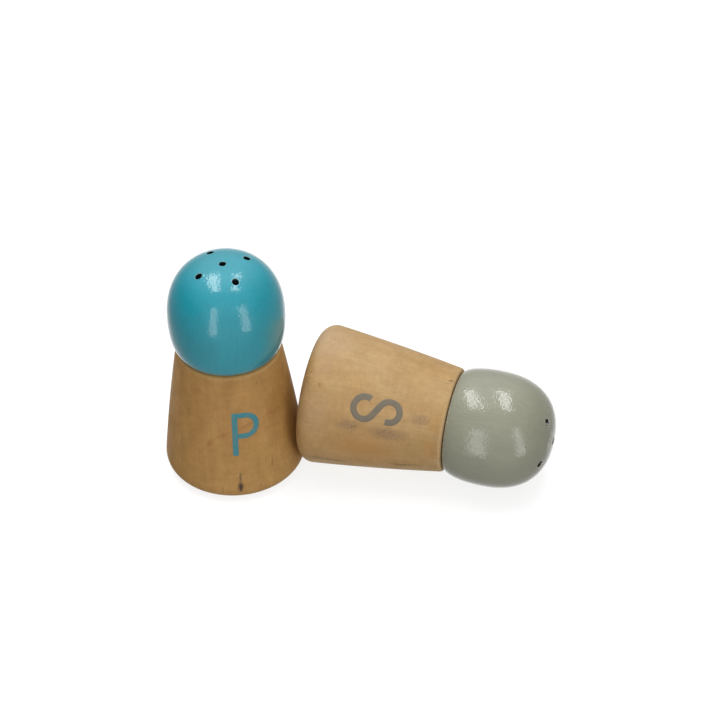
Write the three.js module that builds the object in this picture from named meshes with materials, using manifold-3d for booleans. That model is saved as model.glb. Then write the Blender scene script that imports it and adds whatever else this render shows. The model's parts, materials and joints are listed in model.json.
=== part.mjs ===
// A pair of turned wooden shakers: pepper stands upright, and salt lies on its side against pepper's foot.
//
// Millimetres, +Z up. The origin is the centre of pepper's foot, on the table. +X runs along salt, from its
// foot to its head, and the table is the plane Z = 0.
//
// The two shakers are alike. Each one is a bored wooden body, a lacquered wooden head with five pouring
// holes, a moulded sleeve that plugs the head into the body, and two silicone rings in the sleeve's grooves.
// Outlines are lists of (radius, height) points that are turned round the shaker's own axis.

import * as THREE from 'three';
import { mergeVertices } from 'three/addons/utils/BufferGeometryUtils.js';
import Module from 'manifold-3d';

// Body: a cone with a rounded foot and shoulder, bored from the top
const FOOT_RADIUS = 25;
const SHOULDER_RADIUS = 18.3;
const BODY_HEIGHT = 51.4;
const FLANK_SWELL = 0.45;
const FOOT_ROUND = 5;
const SHOULDER_ROUND = 1.5;
const CHAMBER_RADIUS = 14;
const FLOOR_THICKNESS = 8;
const CHAMBER_ROUND = 3;

// Head: an egg-shaped knob, hollow, with five holes through its top
const SEAM = 0.3;
const NECK_RADIUS = 17;
const HEAD_RADIUS = 20.5;
const HEAD_HEIGHT = 35.8;
const WIDEST_HEIGHT = 13.3;
const DOME_POWER = 2.4;
const CAVITY_RADIUS = 13.5;
const CAVITY_ROUND = 1.5;
const DOME_THICKNESS = 8.2;
const HOLE_RADIUS = 1.15;
const OUTER_HOLES = 4;

// Sleeve: glued into the head by its upper half, and a push fit in the chamber by its lower half
const SLEEVE_RADIUS = 13.2;
const SLEEVE_BORE = 10.4;
const SLEEVE_LEAD = 0.8;
const PLUG_DEPTH = 9;
const SPIGOT_HEIGHT = 8.5;
const FLANGE_RADIUS = 15;
const FLANGE_THICKNESS = 1.2;
const SLIP = 0.3;

// Sealing rings
const RING_SECTION_RADIUS = 0.9;
const RING_RADIUS = 12.75;
const RING_DEPTHS = { upper: 2.7, lower: 6.3 };

// How the pair was drilled, and where salt's foot lies
const PEPPER_HOLES = { circleRadius: 9.3, turn: THREE.MathUtils.degToRad(45) };
const SALT_HOLES = { circleRadius: 10.5, turn: THREE.MathUtils.degToRad(13) };
const SALT_FOOT_X = 25.5;
const SALT_FOOT_Y = 12.4;

// Fineness of the turned surfaces
const TURNED_SIDES = 40;
const SLEEVE_SIDES = 36;
const RING_SIDES = 32;
const RING_SECTION_SIDES = 8;
const HOLE_SIDES = 12;
const FOOT_STEPS = 6;
const SMALL_ROUND_STEPS = 3;
const FLANK_STEPS = 4;
const KNOB_STEPS = 6;
const DOME_STEPS = 10;

const HEAD_BASE = BODY_HEIGHT + SEAM;
const HEAD_TOP = BODY_HEIGHT + HEAD_HEIGHT;
const QUARTER_TURN = Math.PI / 2;

const wasm = await Module();
wasm.setup();

// Points along a round edge of an outline, between two angles measured from straight outwards
function roundEdge(centreRadius, centreHeight, size, fromAngle, toAngle, steps) {
  return Array.from({ length: steps + 1 }, (_, i) => {
    const angle = fromAngle + ((toAngle - fromAngle) * i) / steps;
    return new THREE.Vector2(centreRadius + size * Math.cos(angle), centreHeight + size * Math.sin(angle));
  });
}

// The body's radius at a height: a straight cone, slightly fuller at half height
function flankRadius(height) {
  const share = height / BODY_HEIGHT;
  return FOOT_RADIUS + (SHOULDER_RADIUS - FOOT_RADIUS) * share + 4 * FLANK_SWELL * share * (1 - share);
}

// How far the flank leans inwards from upright at a height, in radians
function flankLean(height) {
  const share = height / BODY_HEIGHT;
  const slope = (SHOULDER_RADIUS - FOOT_RADIUS + 4 * FLANK_SWELL * (1 - 2 * share)) / BODY_HEIGHT;
  return -Math.atan(slope);
}

function bodyOutline() {
  const footLean = flankLean(FOOT_ROUND);
  const footEnd = FOOT_ROUND * (1 + Math.sin(footLean));
  const footCentre = flankRadius(footEnd) - FOOT_ROUND * Math.cos(footLean);
  const shoulderHeight = BODY_HEIGHT - SHOULDER_ROUND;
  const lean = flankLean(shoulderHeight);
  const shoulderStart = shoulderHeight + SHOULDER_ROUND * Math.sin(lean);
  const shoulderCentre = flankRadius(shoulderStart) - SHOULDER_ROUND * Math.cos(lean);
  const floorRadius = CHAMBER_RADIUS - CHAMBER_ROUND;
  const floorRound = FLOOR_THICKNESS + CHAMBER_ROUND;
  const flank = Array.from({ length: FLANK_STEPS - 1 }, (_, i) => {
    const height = footEnd + ((shoulderStart - footEnd) * (i + 1)) / FLANK_STEPS;
    return new THREE.Vector2(flankRadius(height), height);
  });
  return [
    new THREE.Vector2(0, 0),
    ...roundEdge(footCentre, FOOT_ROUND, FOOT_ROUND, -QUARTER_TURN, footLean, FOOT_STEPS),
    ...flank,
    ...roundEdge(shoulderCentre, shoulderHeight, SHOULDER_ROUND, lean, QUARTER_TURN, SMALL_ROUND_STEPS),
    new THREE.Vector2(CHAMBER_RADIUS, BODY_HEIGHT),
    ...roundEdge(floorRadius, floorRound, CHAMBER_ROUND, 0, -QUARTER_TURN, SMALL_ROUND_STEPS),
    new THREE.Vector2(0, FLOOR_THICKNESS),
  ];
}

// The knob's outside: a quarter ellipse up to its widest ring, then a slightly square-shouldered dome
function knobOutline() {
  const widest = BODY_HEIGHT + WIDEST_HEIGHT;
  const lower = Array.from({ length: KNOB_STEPS }, (_, i) => {
    const angle = (QUARTER_TURN * i) / KNOB_STEPS;
    const radius = NECK_RADIUS + (HEAD_RADIUS - NECK_RADIUS) * Math.sin(angle);
    return new THREE.Vector2(radius, widest - (widest - HEAD_BASE) * Math.cos(angle));
  });
  const dome = Array.from({ length: DOME_STEPS }, (_, i) => {
    const angle = (QUARTER_TURN * i) / DOME_STEPS;
    const radius = HEAD_RADIUS * Math.cos(angle) ** (2 / DOME_POWER);
    return new THREE.Vector2(radius, widest + (HEAD_TOP - widest) * Math.sin(angle) ** (2 / DOME_POWER));
  });
  return [...lower, ...dome, new THREE.Vector2(0, HEAD_TOP)];
}

function headOutline() {
  const ceiling = HEAD_TOP - DOME_THICKNESS;
  const ceilingRound = ceiling - CAVITY_ROUND;
  const ceilingFlat = CAVITY_RADIUS - CAVITY_ROUND;
  const counterboreRadius = FLANGE_RADIUS + SLIP;
  const counterboreTop = HEAD_BASE + FLANGE_THICKNESS + SLIP;
  return [
    new THREE.Vector2(0, ceiling),
    ...roundEdge(ceilingFlat, ceilingRound, CAVITY_ROUND, QUARTER_TURN, 0, SMALL_ROUND_STEPS),
    new THREE.Vector2(CAVITY_RADIUS, counterboreTop),
    new THREE.Vector2(counterboreRadius, counterboreTop),
    new THREE.Vector2(counterboreRadius, HEAD_BASE),
    ...knobOutline(),
  ];
}

function sleeveOutline() {
  const bottom = BODY_HEIGHT - PLUG_DEPTH;
  const flangeTop = HEAD_BASE + FLANGE_THICKNESS;
  const top = flangeTop + SPIGOT_HEIGHT;
  const grooveRadius = RING_RADIUS - RING_SECTION_RADIUS - SLIP;
  const grooveHalfWidth = RING_SECTION_RADIUS + SLIP;
  const start = new THREE.Vector2(SLEEVE_BORE, bottom);
  const grooves = [RING_DEPTHS.lower, RING_DEPTHS.upper].flatMap((depth) => {
    const middle = BODY_HEIGHT - depth;
    return [
      new THREE.Vector2(SLEEVE_RADIUS, middle - grooveHalfWidth),
      new THREE.Vector2(grooveRadius, middle - grooveHalfWidth),
      new THREE.Vector2(grooveRadius, middle + grooveHalfWidth),
      new THREE.Vector2(SLEEVE_RADIUS, middle + grooveHalfWidth),
    ];
  });
  return [
    start,
    new THREE.Vector2(SLEEVE_RADIUS - SLEEVE_LEAD, bottom),
    new THREE.Vector2(SLEEVE_RADIUS, bottom + SLEEVE_LEAD),
    ...grooves,
    new THREE.Vector2(SLEEVE_RADIUS, HEAD_BASE),
    new THREE.Vector2(FLANGE_RADIUS, HEAD_BASE),
    new THREE.Vector2(FLANGE_RADIUS, flangeTop),
    new THREE.Vector2(SLEEVE_RADIUS, flangeTop),
    new THREE.Vector2(SLEEVE_RADIUS, top - SLEEVE_LEAD),
    new THREE.Vector2(SLEEVE_RADIUS - SLEEVE_LEAD, top),
    new THREE.Vector2(SLEEVE_BORE, top),
    start,
  ];
}

// Spins an outline round the Z axis
function turned(outline, sides) {
  return new THREE.LatheGeometry(outline, sides).rotateX(QUARTER_TURN);
}

// A closed geometry as a solid that can be cut
function toSolid(geometry) {
  const bare = geometry.clone();
  bare.deleteAttribute('normal');
  bare.deleteAttribute('uv');
  const welded = mergeVertices(bare);
  return new wasm.Manifold(
    new wasm.Mesh({
      numProp: 3,
      vertProperties: welded.getAttribute('position').array,
      triVerts: new Uint32Array(welded.index.array),
    }),
  );
}

// A cut solid as a geometry that can be drawn
function toGeometry(solid) {
  const { vertProperties, triVerts } = solid.getMesh();
  const geometry = new THREE.BufferGeometry();
  geometry.setAttribute('position', new THREE.BufferAttribute(vertProperties, 3));
  geometry.setIndex(new THREE.BufferAttribute(triVerts, 1));
  geometry.computeVertexNormals();
  return geometry;
}

// The head, drilled on its axis and round a circle. The drill stops inside the cavity.
function drilledHead(holes) {
  const drillLength = 2 * DOME_THICKNESS;
  const drillMiddle = HEAD_TOP - DOME_THICKNESS / 2;
  const centres = [new THREE.Vector2(0, 0)];
  for (let i = 0; i < OUTER_HOLES; i += 1) {
    const angle = holes.turn + (2 * Math.PI * i) / OUTER_HOLES;
    centres.push(new THREE.Vector2(Math.cos(angle), Math.sin(angle)).multiplyScalar(holes.circleRadius));
  }
  return centres.reduce((solid, centre) => {
    const drill = new THREE.CylinderGeometry(HOLE_RADIUS, HOLE_RADIUS, drillLength, HOLE_SIDES);
    return solid.subtract(toSolid(drill.rotateX(QUARTER_TURN).translate(centre.x, centre.y, drillMiddle)));
  }, toSolid(turned(headOutline(), TURNED_SIDES)));
}

// The angle by which a shaker's axis dips when it lies on its foot's rim and its knob, and the height of
// its foot's centre above the table. The two rims are where one line touches both outlines.
function lyingPose() {
  const foot = bodyOutline();
  const knob = knobOutline();
  const touching = (outline, dip) => {
    const reach = (point) => point.x * Math.cos(dip) + point.y * Math.sin(dip);
    return outline.reduce((best, point) => (reach(point) > reach(best) ? point : best));
  };
  const settlingSteps = 8;
  let dip = 0;
  for (let i = 0; i < settlingSteps; i += 1) {
    const heel = touching(foot, dip);
    const crown = touching(knob, dip);
    dip = Math.atan2(heel.x - crown.x, crown.y - heel.y);
  }
  const heel = touching(foot, dip);
  return { dip, footHeight: heel.x * Math.cos(dip) + heel.y * Math.sin(dip) };
}

const wood = new THREE.MeshStandardMaterial({ color: '#a17c4c', roughness: 0.6, metalness: 0 });
const paleWood = new THREE.MeshStandardMaterial({ color: '#c4a474', roughness: 0.6, metalness: 0 });
const tealLacquer = new THREE.MeshStandardMaterial({ color: '#3e9fb0', roughness: 0.22, metalness: 0 });
const sageLacquer = new THREE.MeshStandardMaterial({ color: '#9a9a88', roughness: 0.22, metalness: 0 });
const mouldedPlastic = new THREE.MeshStandardMaterial({ color: '#e9e6dc', roughness: 0.45, metalness: 0 });
const silicone = new THREE.MeshStandardMaterial({ color: '#d8d8d2', roughness: 0.7, metalness: 0 });

function piece(name, geometry, material) {
  const mesh = new THREE.Mesh(geometry, material);
  mesh.name = name;
  return mesh;
}

// One whole shaker, standing on the origin
function shaker(name, woodFinish, lacquer, holes) {
  const group = new THREE.Group();
  group.add(piece(`${name}_body`, turned(bodyOutline(), TURNED_SIDES), woodFinish));
  group.add(piece(`${name}_head`, toGeometry(drilledHead(holes)), lacquer));
  group.add(piece(`${name}_stopper_sleeve`, turned(sleeveOutline(), SLEEVE_SIDES), mouldedPlastic));
  for (const [place, depth] of Object.entries(RING_DEPTHS)) {
    const torus = new THREE.TorusGeometry(RING_RADIUS, RING_SECTION_RADIUS, RING_SECTION_SIDES, RING_SIDES);
    const ring = piece(`${name}_o_ring_${place}`, torus, silicone);
    ring.position.z = BODY_HEIGHT - depth;
    group.add(ring);
  }
  return group;
}

const pepper = shaker('pepper', wood, tealLacquer, PEPPER_HOLES);

const salt = shaker('salt', paleWood, sageLacquer, SALT_HOLES);
const { dip, footHeight } = lyingPose();
salt.rotation.y = QUARTER_TURN + dip;
salt.position.set(SALT_FOOT_X, SALT_FOOT_Y, footHeight);

const group = new THREE.Group();
group.add(pepper, salt);

export default group;
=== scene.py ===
"""A pair of turned wooden shakers: pepper stands, and salt lies on its side with its foot against pepper.

Shapes are in millimetres in each shaker's own frame, with the foot's centre at the origin and
+Z towards the head. Azimuths are round that axis, from local +X. Meshes and lights are in metres.
"""

import json
import math

import bpy
from mathutils import Matrix, Vector, geometry, noise


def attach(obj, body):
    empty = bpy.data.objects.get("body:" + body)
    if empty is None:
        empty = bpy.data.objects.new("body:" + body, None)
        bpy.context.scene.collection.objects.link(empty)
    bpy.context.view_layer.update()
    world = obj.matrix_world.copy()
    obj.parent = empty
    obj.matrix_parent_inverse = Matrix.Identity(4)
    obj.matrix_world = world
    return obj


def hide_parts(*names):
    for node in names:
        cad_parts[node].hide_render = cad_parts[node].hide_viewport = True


# Body, as in the CAD
FOOT_RADIUS = 25
SHOULDER_RADIUS = 18.3
BODY_HEIGHT = 51.4
FLANK_SWELL = 0.45
FOOT_ROUND = 5
SHOULDER_ROUND = 1.5
CHAMBER_RADIUS = 14
FLOOR_THICKNESS = 8
CHAMBER_ROUND = 3
MOUTH_ROUND = 0.4

# Head, as in the CAD
HEAD_BASE = 51.7
HEAD_TOP = 87.2
NECK_RADIUS = 17
NECK_ROUND = 0.35
HEAD_RADIUS = 20.5
WIDEST_HEIGHT = 64.7
DOME_POWER = 2.4
CAVITY_RADIUS = 13.5
CAVITY_ROUND = 1.5
CEILING_HEIGHT = 79
COUNTERBORE_RADIUS = 15.3
COUNTERBORE_TOP = 53.2

# Pouring holes: one in the middle and a ring of four
HOLE_RADIUS = 1.15
OUTER_HOLES = 4
HOLE_CIRCLES = {"pepper": 9.3, "salt": 10.5}
HOLE_TURNS = {"pepper": math.radians(45), "salt": math.radians(13)}
HOLE_SIDES = 32
LIP_ROUND = 0.32
LIP_HEIGHT = 0.045
LIP_STEPS = 6
PAINT_BEADS = ((1.15, 0.0), (0.8, 0.012), (0.55, 0.035), (0.42, 0.05))  # (distance from the wall, height)
RAGGEDNESS = {"pepper": 0.35, "salt": 1.0}
LIP_WANDER = 0.1
WANDER_WAVES = 1.3
LIFT_WAVES = 2.1

# The part of the dome that is filled in round the holes
CAP_RADIUS = 13.2
CAP_SPACING = 0.62
CAP_CLEARANCE = 0.6 * CAP_SPACING

# Sleeve and rings, as in the CAD
SLEEVE_RADIUS = 13.2
SLEEVE_BORE = 10.4
SLEEVE_LEAD = 0.8
SLEEVE_BOTTOM = 42.4
SLEEVE_TOP = 61.4
FLANGE_RADIUS = 15
FLANGE_TOP = 52.9
SLEEVE_EDGE = 0.15
RING_SECTION_RADIUS = 0.9
RING_RADIUS = 12.75
RING_HEIGHTS = {"upper": 48.7, "lower": 45.1}
RING_SLIP = 0.3
RING_FLASH = 0.06
RING_SIDES = 24

# Where the wear, and the painted light on the shoulder, start and where they are full, by height
DIRTY_FOOT = (3.2, 0.2)
STRANDED_FOOT = (18, 4)
# The paler shoulder is painted light against the shade under the head's rim
PAINTED_LIGHT_SHOULDER = (BODY_HEIGHT - 1.3, BODY_HEIGHT - 0.5)
WORN_RIM = (HEAD_BASE + 1.1, HEAD_BASE + 0.2)
WORN_CROWN = (CEILING_HEIGHT + 0.5, CEILING_HEIGHT + 2)

TURNED_SIDES = 144
FLANK_STEPS = 40
KNOB_STEPS = 16
DOME_STEPS = 20
SHARP_ANGLE = math.radians(40)
MERGE_DISTANCE = 1e-5
SEED_STEP = (17.3, 5.1, 9.7)
MM = 0.001

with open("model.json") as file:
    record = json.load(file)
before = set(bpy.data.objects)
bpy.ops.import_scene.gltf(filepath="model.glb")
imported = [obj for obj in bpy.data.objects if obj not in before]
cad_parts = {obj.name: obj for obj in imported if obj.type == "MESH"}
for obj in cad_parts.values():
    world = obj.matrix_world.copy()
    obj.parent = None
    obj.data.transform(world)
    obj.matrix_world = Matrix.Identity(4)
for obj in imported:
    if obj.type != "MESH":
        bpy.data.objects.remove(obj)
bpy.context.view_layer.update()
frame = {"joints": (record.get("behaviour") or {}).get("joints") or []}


# Outlines: lists of (radius, height) points


def round_edge(centre_radius, centre_height, size, start, end, steps):
    """Points along a round edge, between two angles from straight outwards."""
    angles = [start + (end - start) * i / steps for i in range(steps + 1)]
    return [(centre_radius + size * math.cos(a), centre_height + size * math.sin(a)) for a in angles]


def between(start, end, steps):
    """The points that divide a straight line, without its two ends."""
    shares = [i / steps for i in range(1, steps)]
    return [tuple(a + (b - a) * s for a, b in zip(start, end)) for s in shares]


def flank_radius(height):
    share = height / BODY_HEIGHT
    return FOOT_RADIUS + (SHOULDER_RADIUS - FOOT_RADIUS) * share + 4 * FLANK_SWELL * share * (1 - share)


def flank_lean(height):
    share = height / BODY_HEIGHT
    return -math.atan((SHOULDER_RADIUS - FOOT_RADIUS + 4 * FLANK_SWELL * (1 - 2 * share)) / BODY_HEIGHT)


def dome_height(radius):
    share = min(radius / HEAD_RADIUS, 1) ** DOME_POWER
    return WIDEST_HEIGHT + (HEAD_TOP - WIDEST_HEIGHT) * (1 - share) ** (1 / DOME_POWER)


def body_outline():
    quarter = math.pi / 2
    foot_lean = flank_lean(FOOT_ROUND)
    foot_end = FOOT_ROUND * (1 + math.sin(foot_lean))
    foot_centre = flank_radius(foot_end) - FOOT_ROUND * math.cos(foot_lean)
    shoulder_height = BODY_HEIGHT - SHOULDER_ROUND
    shoulder_lean = flank_lean(shoulder_height)
    shoulder_start = shoulder_height + SHOULDER_ROUND * math.sin(shoulder_lean)
    shoulder_centre = flank_radius(shoulder_start) - SHOULDER_ROUND * math.cos(shoulder_lean)
    heights = [foot_end + (shoulder_start - foot_end) * i / FLANK_STEPS for i in range(1, FLANK_STEPS)]
    mouth = CHAMBER_RADIUS + MOUTH_ROUND
    floor_radius = CHAMBER_RADIUS - CHAMBER_ROUND
    chamber_floor = FLOOR_THICKNESS + CHAMBER_ROUND
    return [
        (0, 0),
        *between((0, 0), (foot_centre, 0), 8),
        *round_edge(foot_centre, FOOT_ROUND, FOOT_ROUND, -quarter, foot_lean, 16),
        *[(flank_radius(h), h) for h in heights],
        *round_edge(shoulder_centre, shoulder_height, SHOULDER_ROUND, shoulder_lean, quarter, 10),
        *round_edge(mouth, BODY_HEIGHT - MOUTH_ROUND, MOUTH_ROUND, quarter, 2 * quarter, 4),
        *between((CHAMBER_RADIUS, BODY_HEIGHT - MOUTH_ROUND), (CHAMBER_RADIUS, chamber_floor), 8),
        *round_edge(floor_radius, chamber_floor, CHAMBER_ROUND, 0, -quarter, 8),
        *between((floor_radius, FLOOR_THICKNESS), (0, FLOOR_THICKNESS), 4),
        (0, FLOOR_THICKNESS),
    ]


def head_outline():
    """From the edge of the ceiling's flat down the cavity, and up the knob to the edge of the cap."""
    quarter = math.pi / 2
    neck = NECK_RADIUS - NECK_ROUND
    ceiling_round = CEILING_HEIGHT - CAVITY_ROUND
    lower = []
    for i in range(1, KNOB_STEPS):
        angle = quarter * i / KNOB_STEPS
        radius = NECK_RADIUS + (HEAD_RADIUS - NECK_RADIUS) * math.sin(angle)
        lower.append((radius, WIDEST_HEIGHT - (WIDEST_HEIGHT - HEAD_BASE) * math.cos(angle)))
    cap_angle = math.acos((CAP_RADIUS / HEAD_RADIUS) ** (DOME_POWER / 2))
    dome = []
    for i in range(DOME_STEPS + 1):
        radius = HEAD_RADIUS * math.cos(cap_angle * i / DOME_STEPS) ** (2 / DOME_POWER)
        dome.append((radius, dome_height(radius)))
    return [
        *round_edge(CAVITY_RADIUS - CAVITY_ROUND, ceiling_round, CAVITY_ROUND, quarter, 0, 6),
        *between((CAVITY_RADIUS, ceiling_round), (CAVITY_RADIUS, COUNTERBORE_TOP), 8),
        (CAVITY_RADIUS, COUNTERBORE_TOP),
        (COUNTERBORE_RADIUS, COUNTERBORE_TOP),
        (COUNTERBORE_RADIUS, HEAD_BASE),
        *round_edge(neck, HEAD_BASE + NECK_ROUND, NECK_ROUND, -quarter, 0, 4),
        *lower,
        *dome,
    ]


def softened(corners, size):
    """A closed outline with each corner cut by a small three-point round, shorter on the short edges."""
    longest_share = 0.45
    points = []
    for i, corner in enumerate(corners):
        here = Vector(corner)
        ends = [Vector(corners[i - 1]) - here, Vector(corners[(i + 1) % len(corners)]) - here]
        before, after = (here + end.normalized() * min(size, end.length * longest_share) for end in ends)
        points += [tuple(before), tuple((before + after + 2 * here) / 4), tuple(after)]
    return points


def sleeve_outline():
    groove_radius = RING_RADIUS - RING_SECTION_RADIUS - RING_SLIP
    half_width = RING_SECTION_RADIUS + RING_SLIP
    grooves = []
    for height in sorted(RING_HEIGHTS.values()):
        low, high = height - half_width, height + half_width
        grooves += [(SLEEVE_RADIUS, low), (groove_radius, low), (groove_radius, high), (SLEEVE_RADIUS, high)]
    corners = [
        (SLEEVE_BORE, SLEEVE_BOTTOM),
        (SLEEVE_RADIUS - SLEEVE_LEAD, SLEEVE_BOTTOM),
        (SLEEVE_RADIUS, SLEEVE_BOTTOM + SLEEVE_LEAD),
        *grooves,
        (SLEEVE_RADIUS, HEAD_BASE),
        (FLANGE_RADIUS, HEAD_BASE),
        (FLANGE_RADIUS, FLANGE_TOP),
        (SLEEVE_RADIUS, FLANGE_TOP),
        (SLEEVE_RADIUS, SLEEVE_TOP - SLEEVE_LEAD),
        (SLEEVE_RADIUS - SLEEVE_LEAD, SLEEVE_TOP),
        (SLEEVE_BORE, SLEEVE_TOP),
    ]
    return softened(corners, SLEEVE_EDGE)


def ring_outline(height):
    """A round section with the thin line of flash that a two-part mould leaves on it."""
    points = []
    for i in range(RING_SIDES):
        angle = 2 * math.pi * i / RING_SIDES
        size = RING_SECTION_RADIUS + (RING_FLASH if i in (0, RING_SIDES // 2) else 0)
        points.append((RING_RADIUS + size * math.cos(angle), height + size * math.sin(angle)))
    return points


# Meshes


class Surface:
    """Points and faces gathered in millimetres."""

    def __init__(self):
        self.points = []
        self.faces = []
        self.inner_faces = set()

    def add(self, points):
        first = len(self.points)
        self.points += [tuple(p) for p in points]
        return list(range(first, len(self.points)))

    def circle(self, radius, height):
        turns = [2 * math.pi * i / TURNED_SIDES for i in range(TURNED_SIDES)]
        return self.add((radius * math.cos(t), radius * math.sin(t), height) for t in turns)

    def join(self, lower, upper):
        """Quads between two rings of the same count, or triangles where one of them is a single point."""
        count = max(len(lower), len(upper))
        for i in range(count):
            j = (i + 1) % count
            low_edge = [lower[k % len(lower)] for k in (i, j)]
            high_edge = [upper[k % len(upper)] for k in (j, i)]
            self.faces.append(tuple(dict.fromkeys(low_edge + high_edge)))

    def turn(self, outline, closed=False):
        """Spins an outline round the axis, and returns its rings."""
        rings = [self.add([(0, 0, h)]) if r == 0 else self.circle(r, h) for r, h in outline]
        for lower, upper in zip(rings, rings[1:] + (rings[:1] if closed else [])):
            self.join(lower, upper)
        return rings

    def fill(self, border, holes, spare=(), facing_up=True, inner=False):
        """Triangles inside a border ring, round some hole rings and through the spare points."""
        indices = [*border, *(i for ring in holes for i in ring), *spare]
        place = {index: k for k, index in enumerate(indices)}
        edges = [(place[ring[i - 1]], place[ring[i]]) for ring in [border, *holes] for i in range(len(ring))]
        flat = [Vector(self.points[i][:2]) for i in indices]
        _, _, triangles, originals, *_ = geometry.delaunay_2d_cdt(flat, edges, [], 0, MERGE_DISTANCE, True)
        hole_of = {index: k for k, ring in enumerate(holes) for index in ring}
        for triangle in triangles:
            corners = [indices[originals[k][0]] for k in triangle]
            rings = {hole_of.get(index, -1) for index in corners}
            if len(rings) == 1 and -1 not in rings:
                continue
            if inner:
                self.inner_faces.add(len(self.faces))
            self.faces.append(tuple(corners if facing_up else reversed(corners)))

    def mesh(self, name):
        data = bpy.data.meshes.new(name)
        data.from_pydata([[c * MM for c in p] for p in self.points], [], self.faces)
        data.validate()
        finishes = [int(i in self.inner_faces) for i in range(len(self.faces))]
        data.polygons.foreach_set("material_index", finishes)
        data.shade_smooth()
        data.set_sharp_from_angle(angle=SHARP_ANGLE)
        data.update()
        return data


def turned_mesh(name, outline, closed=False):
    surface = Surface()
    surface.turn(outline, closed)
    return surface.mesh(name)


def hole_centres(shaker):
    turns = [HOLE_TURNS[shaker] + 2 * math.pi * i / OUTER_HOLES for i in range(OUTER_HOLES)]
    return [Vector((0, 0)), *(HOLE_CIRCLES[shaker] * Vector((math.cos(t), math.sin(t))) for t in turns)]


def hole_ring(surface, centre, distance, height, ragged, on_dome=True):
    """A ring of points at a distance from a hole's wall.

    A ragged ring wanders as a hand-drilled, painted lip does, each hole by its own slices of the noise.
    """
    drift_slice, lift_slice = centre.x + 0.37 * centre.y, 7 + centre.y
    points = []
    for i in range(HOLE_SIDES):
        turn = 2 * math.pi * i / HOLE_SIDES
        around = Vector((math.cos(turn), math.sin(turn)))
        drift = noise.noise(Vector((*(around * WANDER_WAVES), drift_slice)))
        point = centre + around * (HOLE_RADIUS + distance + LIP_WANDER * ragged * drift)
        lift = height * (1 + ragged * noise.noise(Vector((*(around * LIFT_WAVES), lift_slice))))
        points.append((*point, dome_height(point.length) + lift if on_dome else height))
    return surface.add(points)


def lip_levels():
    """The rings of a painted lip as (distance, height), from its outer edge over the bead to the wall."""
    levels = list(PAINT_BEADS)
    for i in range(1, LIP_STEPS + 1):
        angle = math.pi / 2 * i / LIP_STEPS
        levels.append((LIP_ROUND * (1 - math.sin(angle)), LIP_HEIGHT - LIP_ROUND * (1 - math.cos(angle))))
    return levels


def cap_points(centres):
    """Points all over the cap, in rings, clear of the lips round the holes."""
    clear = HOLE_RADIUS + PAINT_BEADS[0][0] + CAP_CLEARANCE
    points = []
    for step in range(1, int(CAP_RADIUS / CAP_SPACING)):
        radius = CAP_RADIUS - step * CAP_SPACING
        count = max(6, round(2 * math.pi * radius / CAP_SPACING))
        for i in range(count):
            turn = 2 * math.pi * (i + 0.5 * (step % 2)) / count
            point = radius * Vector((math.cos(turn), math.sin(turn)))
            if all((point - centre).length > clear for centre in centres):
                points.append((*point, dome_height(radius)))
    return points


def head_mesh(name, shaker):
    surface = Surface()
    outline = head_outline()
    rings = surface.turn(outline)
    inner_rows = outline.index((COUNTERBORE_RADIUS, HEAD_BASE))
    surface.inner_faces |= set(range(inner_rows * TURNED_SIDES))
    ragged = RAGGEDNESS[shaker]
    centres = hole_centres(shaker)
    rims, ceiling_rims = [], []
    for centre in centres:
        lips = [hole_ring(surface, centre, distance, height, ragged) for distance, height in lip_levels()]
        low = hole_ring(surface, centre, 0, CEILING_HEIGHT, ragged, on_dome=False)
        for outer, inner in zip(lips, [*lips[1:], low]):
            surface.join(outer, inner)
        rims.append(lips[0])
        ceiling_rims.append(low)
    surface.fill(rings[-1], rims, surface.add(cap_points(centres)))
    surface.fill(rings[0], ceiling_rims, facing_up=False, inner=True)
    return surface.mesh(name)


# Letters: a painted line of even width, laid on the flank

LETTER_STROKES = {"pepper": 2.0, "salt": 2.25}
LETTER_PROUD = 0.05
LETTER_EDGE = 0.3 * LETTER_PROUD
LETTER_SUNK = 0.12
LETTER_AZIMUTHS = {"pepper": -60, "salt": -127.4}
LETTER_PAINTS = {"pepper": (0.03, 0.24, 0.285), "salt": (0.17, 0.15, 0.112)}
P_LEAN = math.radians(2.6)
P_START = Vector((-4.2, 19.8))
MITRE_LIMIT = 0.5


def arc(centre, radii, start, end, steps):
    turns = [math.radians(start + (end - start) * i / steps) for i in range(steps + 1)]
    return [Vector((centre[0] + radii[0] * math.cos(t), centre[1] + radii[1] * math.sin(t))) for t in turns]


def letter_p():
    """Stem, top bar, bowl and lower bar, on (across, up) from the letter's azimuth and the foot."""
    stem_top, bowl_size, bar_end = 16.3, 4.15, 3.55
    middle = stem_top - bowl_size
    line = [Vector((0, y * stem_top / 12)) for y in range(13)]
    line += [Vector((bar_end * i / 4, stem_top)) for i in range(1, 4)]
    line += arc((bar_end, middle), (bowl_size, bowl_size), 90, -90, 28)
    line += [Vector((bar_end + (1 - bar_end) * i / 3, middle - bowl_size)) for i in range(1, 4)]
    return [Matrix.Rotation(-P_LEAN, 2) @ p + P_START for p in line]


def letter_s():
    """Two round bowls and the straight spine that is tangent to both."""
    rise, tall, middle = 4.35, 3.65, 27.9
    widths = {"upper": 3.6, "lower": 3.95}
    touch = math.degrees(math.acos(tall / rise))
    upper = arc((0, rise), (widths["upper"], tall), -15, 270 - touch, 30)
    lower = arc((0, -rise), (widths["lower"], tall), 90 - touch, -210, 32)
    spine = [upper[-1].lerp(lower[0], i / 6) for i in range(1, 6)]
    return [p + Vector((0, middle)) for p in [*upper, *spine, *lower]]


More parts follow.
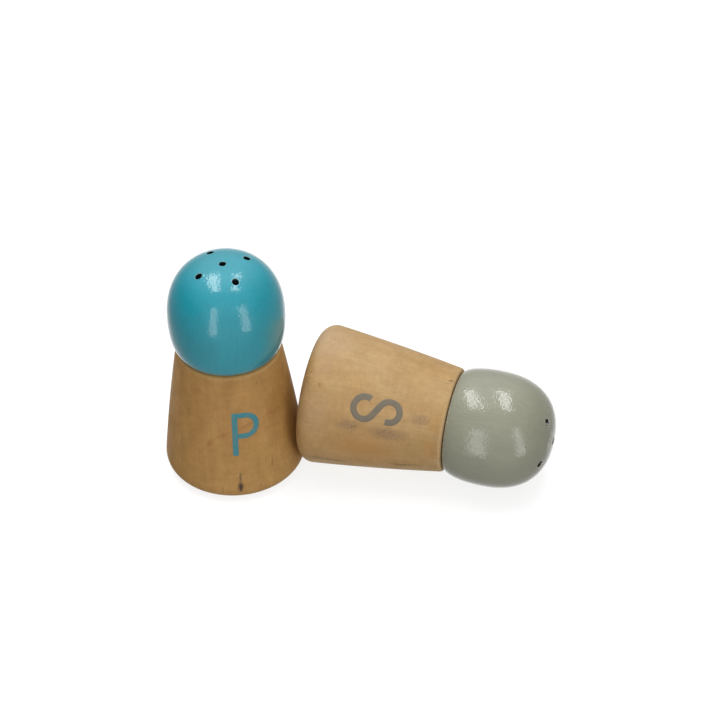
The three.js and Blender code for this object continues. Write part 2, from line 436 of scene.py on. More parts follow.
def letter_mesh(name, line, azimuth, stroke):
    """A strip along the line with mitred corners, a rounded top and a flat back under the wood."""
    half = stroke / 2
    top = [(across, LETTER_PROUD) for across in (-0.94, -0.5, 0, 0.5, 0.94)]
    profile = [(-1, -LETTER_SUNK), (-1, LETTER_EDGE), *top, (1, LETTER_EDGE), (1, -LETTER_SUNK)]
    surface = Surface()
    rows = []
    for i, point in enumerate(line):
        before = (point - line[i - 1]).normalized() if i else None
        after = (line[i + 1] - point).normalized() if i + 1 < len(line) else None
        before, after = before or after, after or before
        along = (before + after).normalized()
        reach = half / max(along.dot(after), MITRE_LIMIT)
        right = Vector((along.y, -along.x))
        row = []
        for across, lift in profile:
            spot = point + right * reach * across
            radius = flank_radius(spot.y) + lift
            turn = math.radians(azimuth) + spot.x / flank_radius(spot.y)
            row.append((radius * math.cos(turn), radius * math.sin(turn), spot.y))
        rows.append(surface.add(row))
    for lower, upper in zip(rows, rows[1:]):
        surface.join(upper, lower)
    surface.faces += [tuple(reversed(rows[-1])), tuple(rows[0])]
    return surface.mesh(name)


# Materials


class Nodes:
    """A node tree, with short ways to add a node and feed it."""

    def __init__(self, tree):
        self.tree = tree

    def add(self, kind, feeds=None, **settings):
        node = self.tree.nodes.new("ShaderNode" + kind)
        for key, value in settings.items():
            setattr(node, key, value)
        for socket, value in (feeds or {}).items():
            self.feed(node.inputs[socket], value)
        return node

    def feed(self, socket, value):
        if isinstance(value, bpy.types.NodeSocket):
            self.tree.links.new(value, socket)
        else:
            socket.default_value = value

    def math(self, operation, *values):
        return self.add("Math", dict(enumerate(values)), operation=operation).outputs[0]

    def vector(self, operation, *values, output="Vector"):
        return self.add("VectorMath", dict(enumerate(values)), operation=operation).outputs[output]

    def height(self, vector):
        return self.add("SeparateXYZ", {0: vector}).outputs["Z"]

    def reach(self, vector):
        """How far the vector ends from the Z axis."""
        return self.vector("LENGTH", self.vector("MULTIPLY", vector, (1, 1, 0)), output="Value")


class Graph(Nodes):
    """A material's nodes, with patterns that are placed in the piece's own millimetres."""

    def __init__(self, name):
        self.material = bpy.data.materials.new(name)
        self.material.use_nodes = True
        super().__init__(self.material.node_tree)
        self.shader = self.tree.nodes["Principled BSDF"]
        coordinates = self.add("TexCoord")
        feeds = {0: coordinates.outputs["Object"], "Scale": 1 / MM}
        self.place = self.add("VectorMath", feeds, operation="SCALE").outputs["Vector"]
        self.normal = coordinates.outputs["Normal"]

    def set(self, **sockets):
        for name, value in sockets.items():
            self.feed(self.shader.inputs[name.replace("_", " ").title().replace("Ior", "IOR")], value)

    def noise(self, vector, scale, seed, stretch=(1, 1, 1), detail=2, roughness=0.5, distortion=0):
        """Noise from 0 to 1, in waves per millimetre, with its own place for each seed."""
        start = tuple(seed * step for step in SEED_STEP)
        feeds = {"Vector": vector, "Location": start, "Scale": tuple(scale * s for s in stretch)}
        moved = self.add("Mapping", feeds).outputs[0]
        feeds = {"Vector": moved, "Scale": 1, "Detail": detail, "Roughness": roughness}
        return self.add("TexNoise", {**feeds, "Distortion": distortion}).outputs[0]

    def warp(self, vector, scale, amount, seed):
        """The vector moved by up to about half the amount, in slow waves."""
        feeds = {"Vector": vector, "Location": (seed, 2 * seed, 3 * seed), "Scale": (scale,) * 3}
        moved = self.add("Mapping", feeds).outputs[0]
        drift = self.add("TexNoise", {"Vector": moved, "Scale": 1, "Detail": 1}).outputs["Color"]
        centred = self.vector("SUBTRACT", drift, (0.5, 0.5, 0.5))
        return self.vector("MULTIPLY_ADD", centred, (amount,) * 3, vector)

    def between(self, value, low, high, at_low=0, at_high=1):
        """A smooth step of the value, from at_low at low to at_high at high."""
        feeds = {0: value, 1: low, 2: high, 3: at_low, 4: at_high}
        return self.add("MapRange", feeds, interpolation_type="SMOOTHSTEP").outputs[0]

    def mix(self, share, first, second, blend="MIX"):
        feeds = {0: share, 6: colour(first), 7: colour(second)}
        return self.add("Mix", feeds, data_type="RGBA", blend_type=blend).outputs[2]

    def shade(self, base, pattern, low, high, dark, bright):
        """The base times a tint that goes from dark to bright as the pattern goes from low to high."""
        return self.mix(1, base, self.mix(self.between(pattern, low, high), dark, bright), "MULTIPLY")

    def blob(self, vector, height, azimuth, wide, tall, turn=0, radius=None, deep=6, soft=0.5):
        """1 inside an ellipse on the flank, or at a radius, fading to 0 at its edge. Sizes are half axes."""
        angle = math.radians(azimuth)
        size = flank_radius(height) if radius is None else radius
        centre = (size * math.cos(angle), size * math.sin(angle), height)
        turns = (math.radians(turn), 0, angle)
        feeds = {"Vector": vector, "Location": centre, "Rotation": turns, "Scale": (deep, wide, tall)}
        local = self.add("Mapping", feeds, vector_type="TEXTURE").outputs[0]
        return self.between(self.vector("LENGTH", local, output="Value"), 1, 1 - soft)

    def bump(self, height, depth, below=None):
        """Raises the surface by up to depth millimetres where height is 1."""
        feeds = {"Height": height, "Distance": depth * MM, "Strength": 1}
        if below is not None:
            feeds["Normal"] = below
        return self.add("Bump", feeds).outputs[0]


def colour(value):
    return value if isinstance(value, bpy.types.NodeSocket) else (*value, 1)


def grain(g, look):
    """Wood: its colour, and a height for its bump."""
    seed = look["seed"]
    at = g.warp(g.place, 0.03, 5, seed)
    end_grain = g.between(g.math("ABSOLUTE", g.height(g.normal)), 0.75, 0.97)

    pith = g.add("Mapping", {"Vector": at, "Location": look["pith"], "Rotation": look["tilt"]}).outputs[0]
    wobble = g.noise(g.place, 0.09, seed + 1, (1, 1, 0.35), 3)
    year = g.math("MULTIPLY_ADD", g.reach(pith), 1 / look["ring_width"], g.math("MULTIPLY", wobble, 1.1))
    contrast = g.math("MULTIPLY_ADD", end_grain, 0.35, look["ring_strength"])
    late = g.math("MULTIPLY", g.between(g.math("FRACT", year), 0.45, 0.96), contrast)

    patches = g.noise(g.place, 0.05, seed + 2, (1, 1, 0.7), 3, 0.6)
    warmth = g.noise(g.place, 0.075, seed + 3, (1, 1, 0.5), 2)
    streaks = g.noise(at, 0.9, seed + 4, (1, 1, 0.07), 4, 0.65)
    fibres = g.noise(g.place, 3.2, seed + 5, (1, 1, 0.09), 3, 0.7)
    figure = g.noise(at, 0.42, seed + 6, (0.6, 0.6, 1.5), 3, 0.6)
    pores = g.noise(g.place, 2.6, seed + 7, (1, 1, 0.22), 1, 0.4)
    dapple = g.noise(at, 0.22, seed + 8, (1, 1, 0.6), 4, 0.6)
    flecks = g.noise(g.place, 0.95, seed + 9, (1, 1, 0.35), 2, 0.55)

    wood = g.mix(g.between(patches, 0.33, 0.68), look["light"], look["deep"])
    wood = g.mix(g.between(warmth, 0.42, 0.72, 0, 0.55), wood, look["warm"])
    wood = g.mix(late, wood, look["late"])
    wood = g.shade(wood, streaks, 0.25, 0.75, (0.945, 0.93, 0.905), (1.035, 1.035, 1.04))
    wood = g.shade(wood, fibres, 0.2, 0.8, (0.95, 0.942, 0.925), (1.04, 1.04, 1.045))
    wood = g.shade(wood, figure, 0.3, 0.7, (0.955, 0.945, 0.925), (1.035, 1.035, 1.035))
    wood = g.shade(wood, dapple, 0.3, 0.7, (0.93, 0.905, 0.86), (1.05, 1.055, 1.07))
    wood = g.mix(g.between(flecks, 0.66, 0.76, 0, 0.28), wood, look["fleck"])
    wood = g.mix(g.between(pores, 0.70, 0.80, 0, 0.5), wood, look["pore"])
    wood = g.mix(g.math("MULTIPLY", end_grain, 0.35), wood, look["late"])
    relief = g.math("MULTIPLY_ADD", fibres, 0.5, g.math("MULTIPLY", g.between(pores, 0.68, 0.8), -0.5))
    return wood, relief


def stains_and_painted_light(g, wood, marks, look):
    """Lays each mark (colour, share, freckled, blob) over the wood, with frayed edges: stains, and painted
    light and shade.
    """
    seed = look["seed"] + 20
    frayed = g.warp(g.warp(g.place, 0.35, 1.0, seed), 1.4, 0.8, seed + 1)
    speckle = g.noise(g.place, 1.1, seed + 2, look["smear"], 3, 0.7)
    freckles = g.noise(g.place, 1.5, seed + 3, (1, 1, 0.8), 2, 0.5)
    for tint, share, freckled, shape in marks:
        cover = g.between(freckles, 0.55, 0.68) if freckled else g.between(speckle, 0.28, 0.62, 0.2, 1)
        shade = g.math("MULTIPLY", g.blob(frayed, **shape), cover)
        wood = g.mix(g.math("MULTIPLY", shade, share), wood, tint)
    return wood


def wood_material(name, look, marks):
    """Rubbed wood with its stains and some painted light and shade, dirt on the foot's edge, and a paler
    shoulder that is painted light against the shade under the head.
    """
    g = Graph(name)
    seed = look["seed"]
    wood, relief = grain(g, look)
    # Stains, and painted light and shade, from the marks
    wood = stains_and_painted_light(g, wood, marks, look)
    up = g.height(g.place)
    # Patches that break up the dirt on the foot and the painted light on the shoulder
    patchiness = g.noise(g.place, 0.25, seed + 11, (1, 1, 1), 4, 0.65)
    foot = g.math("MULTIPLY", g.between(up, *DIRTY_FOOT), g.between(patchiness, 0.38, 0.7))
    wood = g.mix(g.math("MULTIPLY", foot, 0.5), wood, look["dirt"])
    # Paler band round the shoulder: painted light against the shade under the head's rim
    shoulder = g.math("MULTIPLY", g.between(up, *PAINTED_LIGHT_SHOULDER), g.between(patchiness, 0.3, 0.6, 0.5, 1))
    wood = g.mix(g.math("MULTIPLY", shoulder, 0.5), wood, look["rubbed_and_lit"])
    strands = g.noise(g.place, 1.7, seed + 15, (1, 1, 0.1), 3, 0.7)
    low_strands = g.math("MULTIPLY", g.between(up, *STRANDED_FOOT), g.between(strands, 0.52, 0.72, 0, 0.55))
    wood = g.mix(low_strands, wood, look["late"])
    sanding = g.noise(g.place, 4.5, seed + 12, (0.06, 0.06, 1), 2, 0.6)
    wood = g.shade(wood, sanding, 0.3, 0.7, (0.975, 0.972, 0.965), (1.015, 1.015, 1.015))
    worn = g.noise(g.place, 0.12, seed + 13, (1, 1, 1), 3)
    height = g.math("ADD", relief, g.math("MULTIPLY", sanding, 0.5))
    g.set(base_color=wood, roughness=g.between(worn, 0.3, 0.7, 0.5, 0.62), normal=g.bump(height, 0.03))
    g.set(specular_ior_level=0.4)
    return g.material


def raw_wood_material(name, look):
    """The unfinished wood inside a head and its holes."""
    g = Graph(name)
    wood, relief = grain(g, look)
    cuts = g.noise(g.place, 2.2, look["seed"] + 14, (0.1, 0.1, 1), 2)
    wood = g.mix(g.between(cuts, 0.35, 0.7, 0, 0.25), wood, look["dirt"])
    g.set(base_color=wood, roughness=0.8, normal=g.bump(g.math("ADD", relief, cuts), 0.06))
    g.set(specular_ior_level=0.25)
    return g.material


def worn_at_holes(g, paint, chips, look, shaker):
    """Bare, chipped paint round each pouring hole, and painted shade inside the hole."""
    crown = g.between(g.height(g.place), *WORN_CROWN)
    for centre in hole_centres(shaker):
        reach = g.reach(g.vector("SUBTRACT", g.place, (*centre, 0)))
        lip = g.between(reach, HOLE_RADIUS + look["wear_width"], HOLE_RADIUS + 0.05)
        near = g.math("MULTIPLY", lip, crown)
        bare = g.between(g.math("ADD", near, chips), look["wear_start"], look["wear_start"] + 0.12)
        paint = g.mix(g.math("MULTIPLY", bare, near), paint, look["bare"])
        # Painted shade: a near-black colour down the hole's wall and on the very edge of its lip
        paint = g.mix(g.between(reach, HOLE_RADIUS + 0.12, HOLE_RADIUS + 0.02), paint, look["hole"])
    return paint


def lacquer_relief(g, look):
    """Long ripples, then orange peel in rounded cells, then dust."""
    seed, scale = look["seed"], look["peel_scale"]
    feeds = {"Vector": g.warp(g.place, scale, 0.8 / scale, seed + 8), "Scale": scale, "Smoothness": 0.6}
    cells = g.add("TexVoronoi", feeds, feature="SMOOTH_F1").outputs[0]
    swirls = g.noise(g.place, scale * 1.7, seed + 4, (1, 1, 0.8), 1, 0.5)
    peel = g.math("MULTIPLY_ADD", swirls, 0.5, cells)
    ripple = g.noise(g.place, scale * 0.3, seed + 5, (1, 1, 0.35), 2, 0.5)
    dust = g.noise(g.place, scale * 3.1, seed + 6, (1, 1, 1), 1, 0.5)
    smooth = g.bump(ripple, look["ripple_depth"])
    smooth = g.bump(peel, look["peel_depth"], smooth)
    return g.bump(dust, look["dust_depth"], smooth)


def lacquer_material(name, look, shaker):
    """Glossy paint over turned wood: orange peel, faint long streaks, chips, runs and worn edges."""
    g = Graph(name)
    seed = look["seed"]
    clouds = g.noise(g.place, 0.06, seed, (1, 1, 1), 3, 0.6)
    streaks = g.noise(g.place, 0.8, seed + 1, (1, 1, 0.1), 3, 0.6)
    specks = g.noise(g.place, 1.9, seed + 2, (1, 1, 1), 2, 0.5)
    chips = g.noise(g.place, 1.1, seed + 3, (1, 1, 0.6), 3, 0.6)
    paint = g.mix(g.between(clouds, 0.3, 0.7), look["thin"], look["full"])
    paint = g.shade(paint, streaks, 0.28, 0.72, (0.955, 0.96, 0.96), (1.03, 1.03, 1.03))
    paint = g.mix(g.between(specks, 0.74, 0.82, 0, 0.35), paint, look["speck"])
    paint = worn_at_holes(g, paint, chips, look, shaker)
    for chip in look["chips"]:
        shape = g.blob(g.warp(g.place, 0.9, 1.1, seed + 9), **chip)
        paint = g.mix(g.math("MULTIPLY", shape, g.between(chips, 0.35, 0.6)), paint, look["bare"])
    rim = g.between(g.height(g.place), *WORN_RIM)
    paint = g.mix(g.math("MULTIPLY", rim, g.between(chips, 0.5, 0.62, 0, 0.5)), paint, look["bare"])
    smooth = lacquer_relief(g, look)
    for run in look["runs"]:
        drip = g.blob(g.warp(g.place, 0.9, 1.2, seed + 9), soft=0.9, **run)
        smooth = g.bump(drip, 0.3, smooth)
        # Each run is raised, and painted paler, half-way to the bare colour
        paint = g.mix(g.math("MULTIPLY", drip, 0.5), paint, look["bare"])
    rubbed_and_lit = g.noise(g.place, 0.2, seed + 7, (1, 1, 0.5), 4, 0.6)
    g.set(base_color=paint, roughness=g.between(rubbed_and_lit, 0.3, 0.7, 0.3, 0.42), normal=smooth)
    g.set(specular_ior_level=0.3, coat_weight=1.0)
    g.set(coat_roughness=look["coat_roughness"], coat_normal=smooth)
    return g.material


def letter_material(name, paint, wood, seed):
    """Matt printed paint, a little thin over the grain."""
    g = Graph(name)
    fibres = g.noise(g.place, 2.4, seed, (1, 1, 0.12), 3, 0.7)
    patches = g.noise(g.place, 0.5, seed + 1, (1, 1, 0.6), 3, 0.6)
    tint = g.mix(g.between(patches, 0.3, 0.7, 0, 0.14), paint, wood)
    tint = g.mix(g.between(fibres, 0.58, 0.8, 0, 0.3), tint, wood)
    g.set(base_color=tint, roughness=g.between(patches, 0.3, 0.7, 0.45, 0.6), normal=g.bump(fibres, 0.02))
    return g.material


def plastic_material(name, base, seed):
    """Moulded plastic, with faint flow marks and dust."""
    g = Graph(name)
    flow = g.noise(g.place, 0.12, seed, (1, 1, 0.4), 3, 0.5, 0.8)
    dust = g.noise(g.place, 1.6, seed + 1, (1, 1, 1), 3, 0.7)
    tint = g.mix(g.between(flow, 0.3, 0.7, 0, 0.5), base, tuple(c * 0.88 for c in base))
    tint = g.mix(g.between(dust, 0.62, 0.8, 0, 0.35), tint, DUST_COLOUR)
    g.set(base_color=tint, roughness=g.between(flow, 0.3, 0.7, 0.34, 0.46), normal=g.bump(dust, 0.012))
    g.set(subsurface_weight=0.15, subsurface_scale=0.0015)
    return g.material


def silicone_material(name, base, seed):
    """Soft, slightly cloudy rubber with a fine grip."""
    g = Graph(name)
    cloud = g.noise(g.place, 0.3, seed, (1, 1, 1), 3, 0.6)
    grip = g.noise(g.place, 5, seed + 1, (1, 1, 1), 2, 0.5)
    tint = g.mix(g.between(cloud, 0.3, 0.7, 0, 0.6), base, tuple(c * 0.8 for c in base))
    g.set(base_color=tint, roughness=g.between(cloud, 0.3, 0.7, 0.5, 0.66), normal=g.bump(grip, 0.01))
    g.set(subsurface_weight=0.3, subsurface_scale=0.001)
    return g.material


SLEEVE_COLOUR = (0.78, 0.755, 0.68)
RING_COLOUR = (0.66, 0.66, 0.62)
DUST_COLOUR = (0.45, 0.36, 0.26)
PEPPER_WOOD = {
    "seed": 3,
    "light": (0.52, 0.296, 0.093),
    "deep": (0.445, 0.24, 0.07),
    "warm": (0.50, 0.26, 0.085),
    "late": (0.38, 0.19, 0.055),
    "pore": (0.24, 0.135, 0.06),
    "fleck": (0.34, 0.165, 0.055),
    "dirt": (0.20, 0.125, 0.07),
    # Colour of the paler shoulder: painted light against the shade under the head
    "rubbed_and_lit": (0.66, 0.40, 0.15),
    "smear": (1, 1, 0.45),
    "pith": (34, 58, 0),
    "tilt": (0.12, 0.05, 0),
    "ring_width": 7.5,
    "ring_strength": 0.16,
}
SALT_WOOD = {
    "seed": 9,
    "light": (0.515, 0.338, 0.158),
    "deep": (0.475, 0.303, 0.121),
    "warm": (0.515, 0.304, 0.124),
    "late": (0.41, 0.24, 0.09),
    "pore": (0.27, 0.155, 0.075),
    "fleck": (0.37, 0.21, 0.09),
    "dirt": (0.22, 0.14, 0.085),
    # Colour of the paler shoulder: painted light against the shade under the head
    "rubbed_and_lit": (0.68, 0.48, 0.26),
    "smear": (0.7, 0.7, 1.5),
    "pith": (-40, 46, 0),
    "tilt": (-0.1, 0.08, 0),
    "ring_width": 8.5,
    "ring_strength": 0.09,
}
PEPPER_LACQUER = {
    "seed": 31,
    "thin": (0.013, 0.30, 0.375),
    "full": (0.010, 0.325, 0.415),
    "speck": (0.008, 0.24, 0.32),
    "bare": (0.30, 0.47, 0.47),
    # Near-black of the painted shade inside the holes
    "hole": (0.008, 0.02, 0.022),
    "chips": (),
    "runs": (),
    "wear_width": 0.6,
    "wear_start": 1.35,
    "peel_scale": 1.1,
    "peel_depth": 0.038,
    "ripple_depth": 0.035,
    "dust_depth": 0.006,
    "coat_roughness": 0.055,
}
SALT_LACQUER = {
    "seed": 47,
    "thin": (0.29, 0.288, 0.212),
    "full": (0.31, 0.308, 0.228),
    "speck": (0.25, 0.25, 0.19),
    "bare": (0.62, 0.58, 0.49),
    # Near-black of the painted shade inside the holes
    "hole": (0.022, 0.02, 0.014),
    "chips": (
        {"height": 87.0, "azimuth": -100, "wide": 1.6, "tall": 2, "radius": 3.1, "deep": 0.35},
    ),
    "runs": (
        {"height": 86.9, "azimuth": -132, "wide": 4.6, "tall": 3, "radius": 5.5, "deep": 0.5},
        {"height": 86.6, "azimuth": -118, "wide": 1.8, "tall": 3, "radius": 6.3, "deep": 0.4},
    ),
    "wear_width": 0.8,
    "wear_start": 1.3,
    "peel_scale": 1.1,
    "peel_depth": 0.052,
    "ripple_depth": 0.035,
    "dust_depth": 0.007,
    "coat_roughness": 0.06,
}

# Colours of the stains and of the painted light, sheen and shade
BROWN = (0.13, 0.07, 0.035)
UMBER = (0.20, 0.115, 0.06)
REDDISH = (0.38, 0.155, 0.05)
# Orange of stains, and of the painted warm shade on the salt's lower side
ORANGE = (0.50, 0.253, 0.076)
SLATE = (0.30, 0.185, 0.095)
# Pink of the painted sheen on the salt's upper side
PAINTED_ROSE_SHEEN = (0.47, 0.285, 0.15)
OCHRE = (0.52, 0.30, 0.085)
# Pale tone of the painted light on the salt's upper side
PAINTED_TOP_LIGHT = (0.53, 0.375, 0.225)
INK = (0.05, 0.028, 0.016)


def mark(tint, share, height, azimuth, wide, tall, turn=0, soft=0.7, freckled=False):
    """A mark on the flank, for stains and painted light alike: half axes round and up the flank in
    millimetres, and angles in degrees.
    """
    shape = {"height": height, "azimuth": azimuth, "wide": wide, "tall": tall, "turn": turn, "soft": soft}
    return tint, share, freckled, shape


PEPPER_MARKS = [
    mark(UMBER, 0.55, 7.6, -68.6, 1.5, 4.6),
    mark(BROWN, 1.0, 6.6, -68.9, 1.2, 2.6),
    mark(INK, 1.0, 6.3, -68.9, 0.8, 1.9, soft=0.8),
    mark(BROWN, 0.7, 10.4, -68.3, 0.6, 2.8),
    mark(BROWN, 0.8, 12.0, -67.7, 0.8, 0.7),
    mark(UMBER, 0.5, 18.9, -71.2, 0.5, 1.3),
    mark(BROWN, 0.6, 13.4, -39.0, 0.55, 2.6, -6),
    mark(UMBER, 0.45, 15.0, -44.5, 0.4, 2.4, -4),
    mark(UMBER, 0.4, 5.0, -84.0, 0.5, 2.6),
    mark(UMBER, 0.4, 4.2, -94.0, 0.5, 2.4),
    mark(UMBER, 0.35, 5.6, -52.0, 0.5, 2.8),
    mark(UMBER, 0.3, 4.4, -104.0, 0.6, 2.2),
    mark(BROWN, 0.6, 47.5, -41.8, 0.4, 1.3),
    mark(REDDISH, 0.8, 42.5, -56.5, 0.6, 0.7),
    mark(REDDISH, 0.7, 35.5, -90.7, 0.7, 0.6),
    mark(REDDISH, 0.4, 38.5, -88.0, 1.6, 0.5),
    mark(REDDISH, 0.7, 23.8, -95.0, 5.0, 1.2, 50, soft=0.95),
    mark(REDDISH, 0.9, 28.4, -81.0, 4.4, 1.2, 26, soft=0.95),
    mark(REDDISH, 0.7, 31.7, -58.0, 7.4, 1.1, 17, soft=0.95),
    mark(REDDISH, 0.9, 33.0, -28.7, 6.4, 1.2, -5, soft=0.95),
    mark(REDDISH, 0.25, 45.1, -109.7, 3.5, 3.0),
    mark(REDDISH, 0.25, 48.6, -76.0, 9.0, 1.2),
    mark(ORANGE, 0.5, 44.0, -52.0, 9.0, 5.0),
    mark(OCHRE, 0.5, 22.0, -50.0, 8.0, 7.0),
    mark(UMBER, 0.2, 21.3, -124.0, 1.2, 5.0),
    mark(UMBER, 0.15, 36.0, -118.0, 1.4, 6.0),
]
SALT_MARKS = [
    # Paler tone on the upper side by the foot: painted light from overhead
    mark(PAINTED_TOP_LIGHT, 0.85, 5.0, 175.0, 14.0, 17.0, soft=0.9),
    # Golden tone over the front and lower side of the flank: painted warm shade
    mark(ORANGE, 0.45, 24.0, -84.0, 19.0, 34.0, soft=0.9),
    mark(BROWN, 0.6, 2.6, -148.0, 0.7, 0.7),
    mark(REDDISH, 0.9, 7.1, -138.2, 1.0, 0.9),
    mark(REDDISH, 0.8, 5.5, -126.0, 7.0, 3.2, freckled=True),
    mark(UMBER, 0.6, 3.2, -140.0, 7.0, 2.0, freckled=True),
    mark(REDDISH, 0.6, 6.5, 176.0, 3.5, 3.0, freckled=True),
    # Pinker tones on the upper side of the foot: painted sheen from the overhead light
    mark(PAINTED_ROSE_SHEEN, 0.5, 7.0, -158.0, 8.0, 6.0),
    mark(PAINTED_ROSE_SHEEN, 0.5, 6.0, -118.0, 12.0, 8.0),
    mark(SLATE, 0.7, 18.9, -109.3, 2.8, 5.2),
    mark(SLATE, 0.8, 33.0, -106.5, 3.0, 9.5),
    mark(REDDISH, 0.5, 29.5, -105.0, 2.2, 2.0, freckled=True),
    mark(SLATE, 0.75, 43.6, -126.0, 2.6, 4.6),
    mark(BROWN, 0.6, 20.0, -107.5, 3.2, 3.0, freckled=True),
    mark(UMBER, 0.7, 34.0, -105.5, 2.6, 8.0, freckled=True),
    mark(ORANGE, 0.7, 47.6, -93.0, 6.0, 3.6),
    mark(REDDISH, 0.3, 49.6, -94.0, 5.0, 1.8),
    mark(ORANGE, 0.6, 25.0, -88.0, 6.0, 15.0),
    mark(ORANGE, 0.45, 48.0, -125.0, 5.0, 3.0),
    mark(UMBER, 0.5, 9.0, -64.5, 1.8, 6.0),
    mark(BROWN, 0.5, 15.0, -62.5, 1.0, 5.5),
    mark(BROWN, 0.7, 39.0, -66.0, 0.9, 6.5, 2),
    mark(BROWN, 0.5, 37.0, -65.0, 1.2, 5.0, freckled=True),
    mark(BROWN, 0.9, 50.3, -178.7, 0.5, 1.5, 12),
    mark(BROWN, 0.6, 49.6, -173.6, 0.4, 1.6, 10),
]


# The two shakers


def placement(shaker):
    """Puts the shaker's own frame in the row frame, from the axis that its head twists on."""
    twist = next(j for j in frame["joints"] if j["name"] == shaker + "_head_twist")
    up, side = Vector(twist["axis"]).normalized(), Vector((0, 1, 0))
    across = side.cross(up).normalized()
    matrix = Matrix((across, side, up)).transposed().to_4x4()
    matrix.translation = Vector(twist["pos_m"])
    return matrix


def add_piece(mesh, materials, matrix, body, node=None):
    """Places a mesh as a piece that rides on a body, and replaces the CAD node if it has one."""
    for material in materials:
        mesh.materials.append(material)
    piece = bpy.data.objects.new(mesh.name, mesh)
    bpy.context.scene.collection.objects.link(piece)
    piece.matrix_world = matrix
    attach(piece, body)
    if node:
        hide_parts(node)


def build_shaker(shaker, wood, lacquer, marks, letter):
    matrix = placement(shaker)
    base, rings, top = (f"{shaker}_{part}" for part in ("base", "rings", "top"))
    seed = wood["seed"]
    wood_finish = wood_material(f"{shaker}_turned_wood", wood, marks)
    raw_finish = raw_wood_material(f"{shaker}_raw_wood", wood)
    head_finish = lacquer_material(f"{shaker}_lacquer", lacquer, shaker)
    paint = letter_material(f"{shaker}_letter_paint", LETTER_PAINTS[shaker], wood["deep"], seed + 60)
    plastic = plastic_material(f"{shaker}_sleeve_plastic", SLEEVE_COLOUR, seed + 70)
    silicone = silicone_material(f"{shaker}_silicone", RING_COLOUR, seed + 80)

    body = turned_mesh(f"{shaker}_bored_body", body_outline())
    add_piece(body, [wood_finish], matrix, base, f"{shaker}_body")
    head = head_mesh(f"{shaker}_drilled_head", shaker)
    add_piece(head, [head_finish, raw_finish], matrix, top, f"{shaker}_head")
    sleeve = turned_mesh(f"{shaker}_moulded_sleeve", sleeve_outline(), closed=True)
    add_piece(sleeve, [plastic], matrix, top, f"{shaker}_stopper_sleeve")
    for level, height in RING_HEIGHTS.items():
        ring = turned_mesh(f"{shaker}_seal_{level}", ring_outline(height), closed=True)
        add_piece(ring, [silicone], matrix, rings, f"{shaker}_o_ring_{level}")
    strip = letter_mesh(f"{shaker}_letter", letter, LETTER_AZIMUTHS[shaker], LETTER_STROKES[shaker])
    add_piece(strip, [paint], matrix, base)


build_shaker("pepper", PEPPER_WOOD, PEPPER_LACQUER, PEPPER_MARKS, letter_p())
build_shaker("salt", SALT_WOOD, SALT_LACQUER, SALT_MARKS, letter_s())


# Studio: floor, light and camera

VIEW_YAW = math.radians(17.73)
VIEW_RIGHT = Vector((math.cos(VIEW_YAW), math.sin(VIEW_YAW), 0))
VIEW_AWAY = Vector((-math.sin(VIEW_YAW), math.cos(VIEW_YAW), 0))
UP = Vector((0, 0, 1))
CEILING = 1.3
LAMP_DISTANCE = 1.0
HEAD_LEVEL = 0.065
# Walls by the height of the direction to them, from -1 straight down to 1 straight up: (height, radiance)
WALL_SHADES = ((-1, 0.33), (-0.05, 0.3), (0.05, 0.2), (0.3, 0.22), (0.75, 0.5), (1, 0.52))
# Brighter parts of the walls, and a dimmer one: (right, away from the camera, up), radiance, narrowness
WALL_GLOWS = (
    ((0, 1, 1), 0.6, 4),
    ((0, -1, 0), 0.40, 2),
    ((0, 0.76, -0.65), 1.0, 8),
    ((-1, 0, 0), -0.12, 2),
)
FLOOR_SIZE = 8
FLOOR_SHADES = ((0.3, 0.3, 0.3), (0.32, 0.32, 0.32))
FLOOR_GLOW = 0.80
CAMERA_PLACE = Vector((0.40167, -1.10766, 1.03736))
CAMERA_TARGET = Vector((0.03908, 0.02644, 0.03))
CAMERA_ROLL = math.radians(-2.780)
SENSOR_WIDTH = 36
FOCAL_LENGTH = 221.64
CLIP_END = 20


def add_floor():
    """A bright sheet that only the camera sees, so that the walls alone light the shakers from below."""
    bpy.ops.mesh.primitive_plane_add(size=FLOOR_SIZE)
    floor = bpy.context.object
    floor.name = "studio_floor"
    g = Graph("floor_paper")
    tooth = g.noise(g.place, 0.4, 90, (1, 1, 1), 3, 0.6)
    shade = g.mix(g.between(tooth, 0.3, 0.7), *FLOOR_SHADES)
    g.set(base_color=shade, roughness=0.9, specular_ior_level=0.0)
    g.set(emission_color=(1, 1, 1, 1), emission_strength=FLOOR_GLOW)
    floor.data.materials.append(g.material)
    floor.visible_glossy = floor.visible_diffuse = False


def add_softbox(name, matrix, width, length, radiance):
    """A rectangular light that shines along the matrix's -Z."""
    lamp = bpy.data.lights.new(name, "AREA")
    lamp.shape = "RECTANGLE"
    lamp.size, lamp.size_y = width, length
    lamp.energy = radiance * math.pi * width * length
    light = bpy.data.objects.new(name, lamp)
    light.matrix_world = matrix
    light.visible_camera = False
    bpy.context.scene.collection.objects.link(light)


def ceiling_strip(name, sides, ends, radiance):
    """A strip overhead. Its sides (right of the camera) and ends (away from it) are per metre of height."""
    matrix = Matrix((VIEW_RIGHT, VIEW_AWAY, UP)).transposed().to_4x4()
    matrix.translation = CEILING * (VIEW_RIGHT * sum(sides) / 2 + VIEW_AWAY * sum(ends) / 2 + UP)
    add_softbox(name, matrix, CEILING * (sides[1] - sides[0]), CEILING * (ends[1] - ends[0]), radiance)


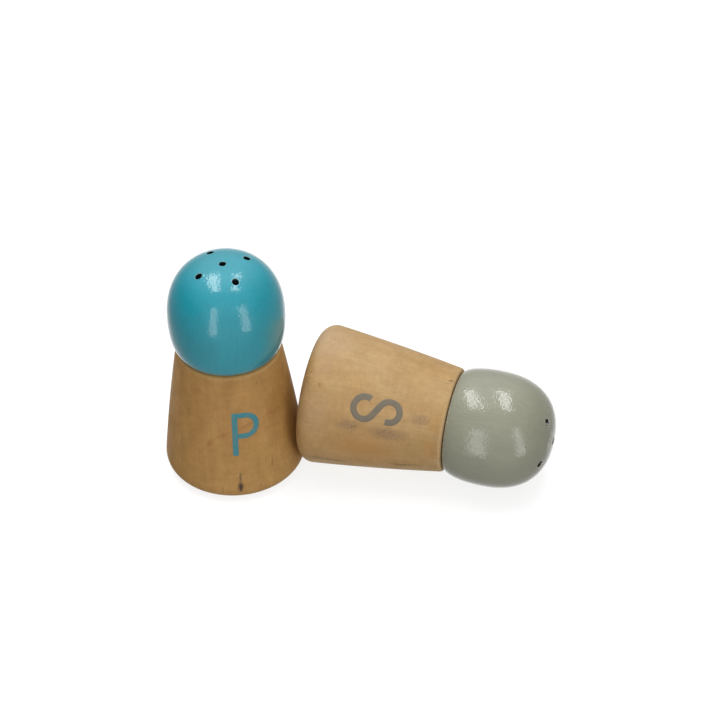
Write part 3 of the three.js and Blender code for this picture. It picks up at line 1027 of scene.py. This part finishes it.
def standing_strip(name, azimuths, elevations, radiance):
    """An upright strip beside the table, between azimuths and elevations in degrees, seen from the heads."""
    middle = math.radians(sum(azimuths) / 2)
    outward = Vector((math.sin(middle), -math.cos(middle), 0))
    low, high = (HEAD_LEVEL + LAMP_DISTANCE * math.tan(math.radians(e)) for e in elevations)
    width = 2 * LAMP_DISTANCE * math.tan(math.radians(azimuths[1] - azimuths[0]) / 2)
    matrix = Matrix((UP.cross(outward), UP, outward)).transposed().to_4x4()
    matrix.translation = outward * LAMP_DISTANCE + UP * (low + high) / 2
    add_softbox(name, matrix, width, high - low, radiance)


def add_world():
    """Dim walls, brighter overhead, in front of the table and behind it than at its two sides."""
    world = bpy.data.worlds.new("studio_walls")
    bpy.context.scene.world = world
    world.use_nodes = True
    g = Nodes(world.node_tree)
    direction = g.add("TexCoord").outputs["Generated"]
    rise = g.add("MapRange", {"Value": g.height(direction), "From Min": -1}).outputs[0]
    ramp = g.add("ValToRGB", {0: rise})
    elements = ramp.color_ramp.elements
    while len(elements) < len(WALL_SHADES):
        elements.new(0.5)
    for element, (height, shade) in zip(elements, WALL_SHADES):
        element.position = (height + 1) / 2
        element.color = (shade, shade, shade, 1)
    total = ramp.outputs[0]
    for (right, away, up), gain, power in WALL_GLOWS:
        towards = (VIEW_RIGHT * right + VIEW_AWAY * away + UP * up).normalized()
        facing = g.math("MAXIMUM", g.vector("DOT_PRODUCT", direction, towards, output="Value"), 0)
        total = g.math("MULTIPLY_ADD", g.math("POWER", facing, power), gain, total)
    g.feed(g.tree.nodes["Background"].inputs["Color"], total)


def add_camera():
    data = bpy.data.cameras.new("camera")
    data.sensor_width = SENSOR_WIDTH
    data.lens = FOCAL_LENGTH
    data.clip_end = CLIP_END
    camera = bpy.data.objects.new("camera", data)
    turn = (CAMERA_TARGET - CAMERA_PLACE).to_track_quat("-Z", "Y").to_matrix().to_4x4()
    camera.matrix_world = Matrix.Translation(CAMERA_PLACE) @ turn @ Matrix.Rotation(CAMERA_ROLL, 4, "Z")
    bpy.context.scene.collection.objects.link(camera)
    bpy.context.scene.camera = camera


add_floor()
add_world()
ceiling_strip("ceiling_strip_left", sides=(-0.36, -0.12), ends=(-0.18, 0.60), radiance=5.7)
ceiling_strip("ceiling_strip_right", sides=(0.19, 0.40), ends=(-0.18, 0.58), radiance=5.7)
standing_strip("standing_strip_front", azimuths=(-12, 1), elevations=(-19, 35), radiance=2.4)
standing_strip("standing_strip_side", azimuths=(47, 63), elevations=(-18, 34), radiance=2.3)
add_camera()
bpy.context.scene.view_settings.view_transform = "Standard"
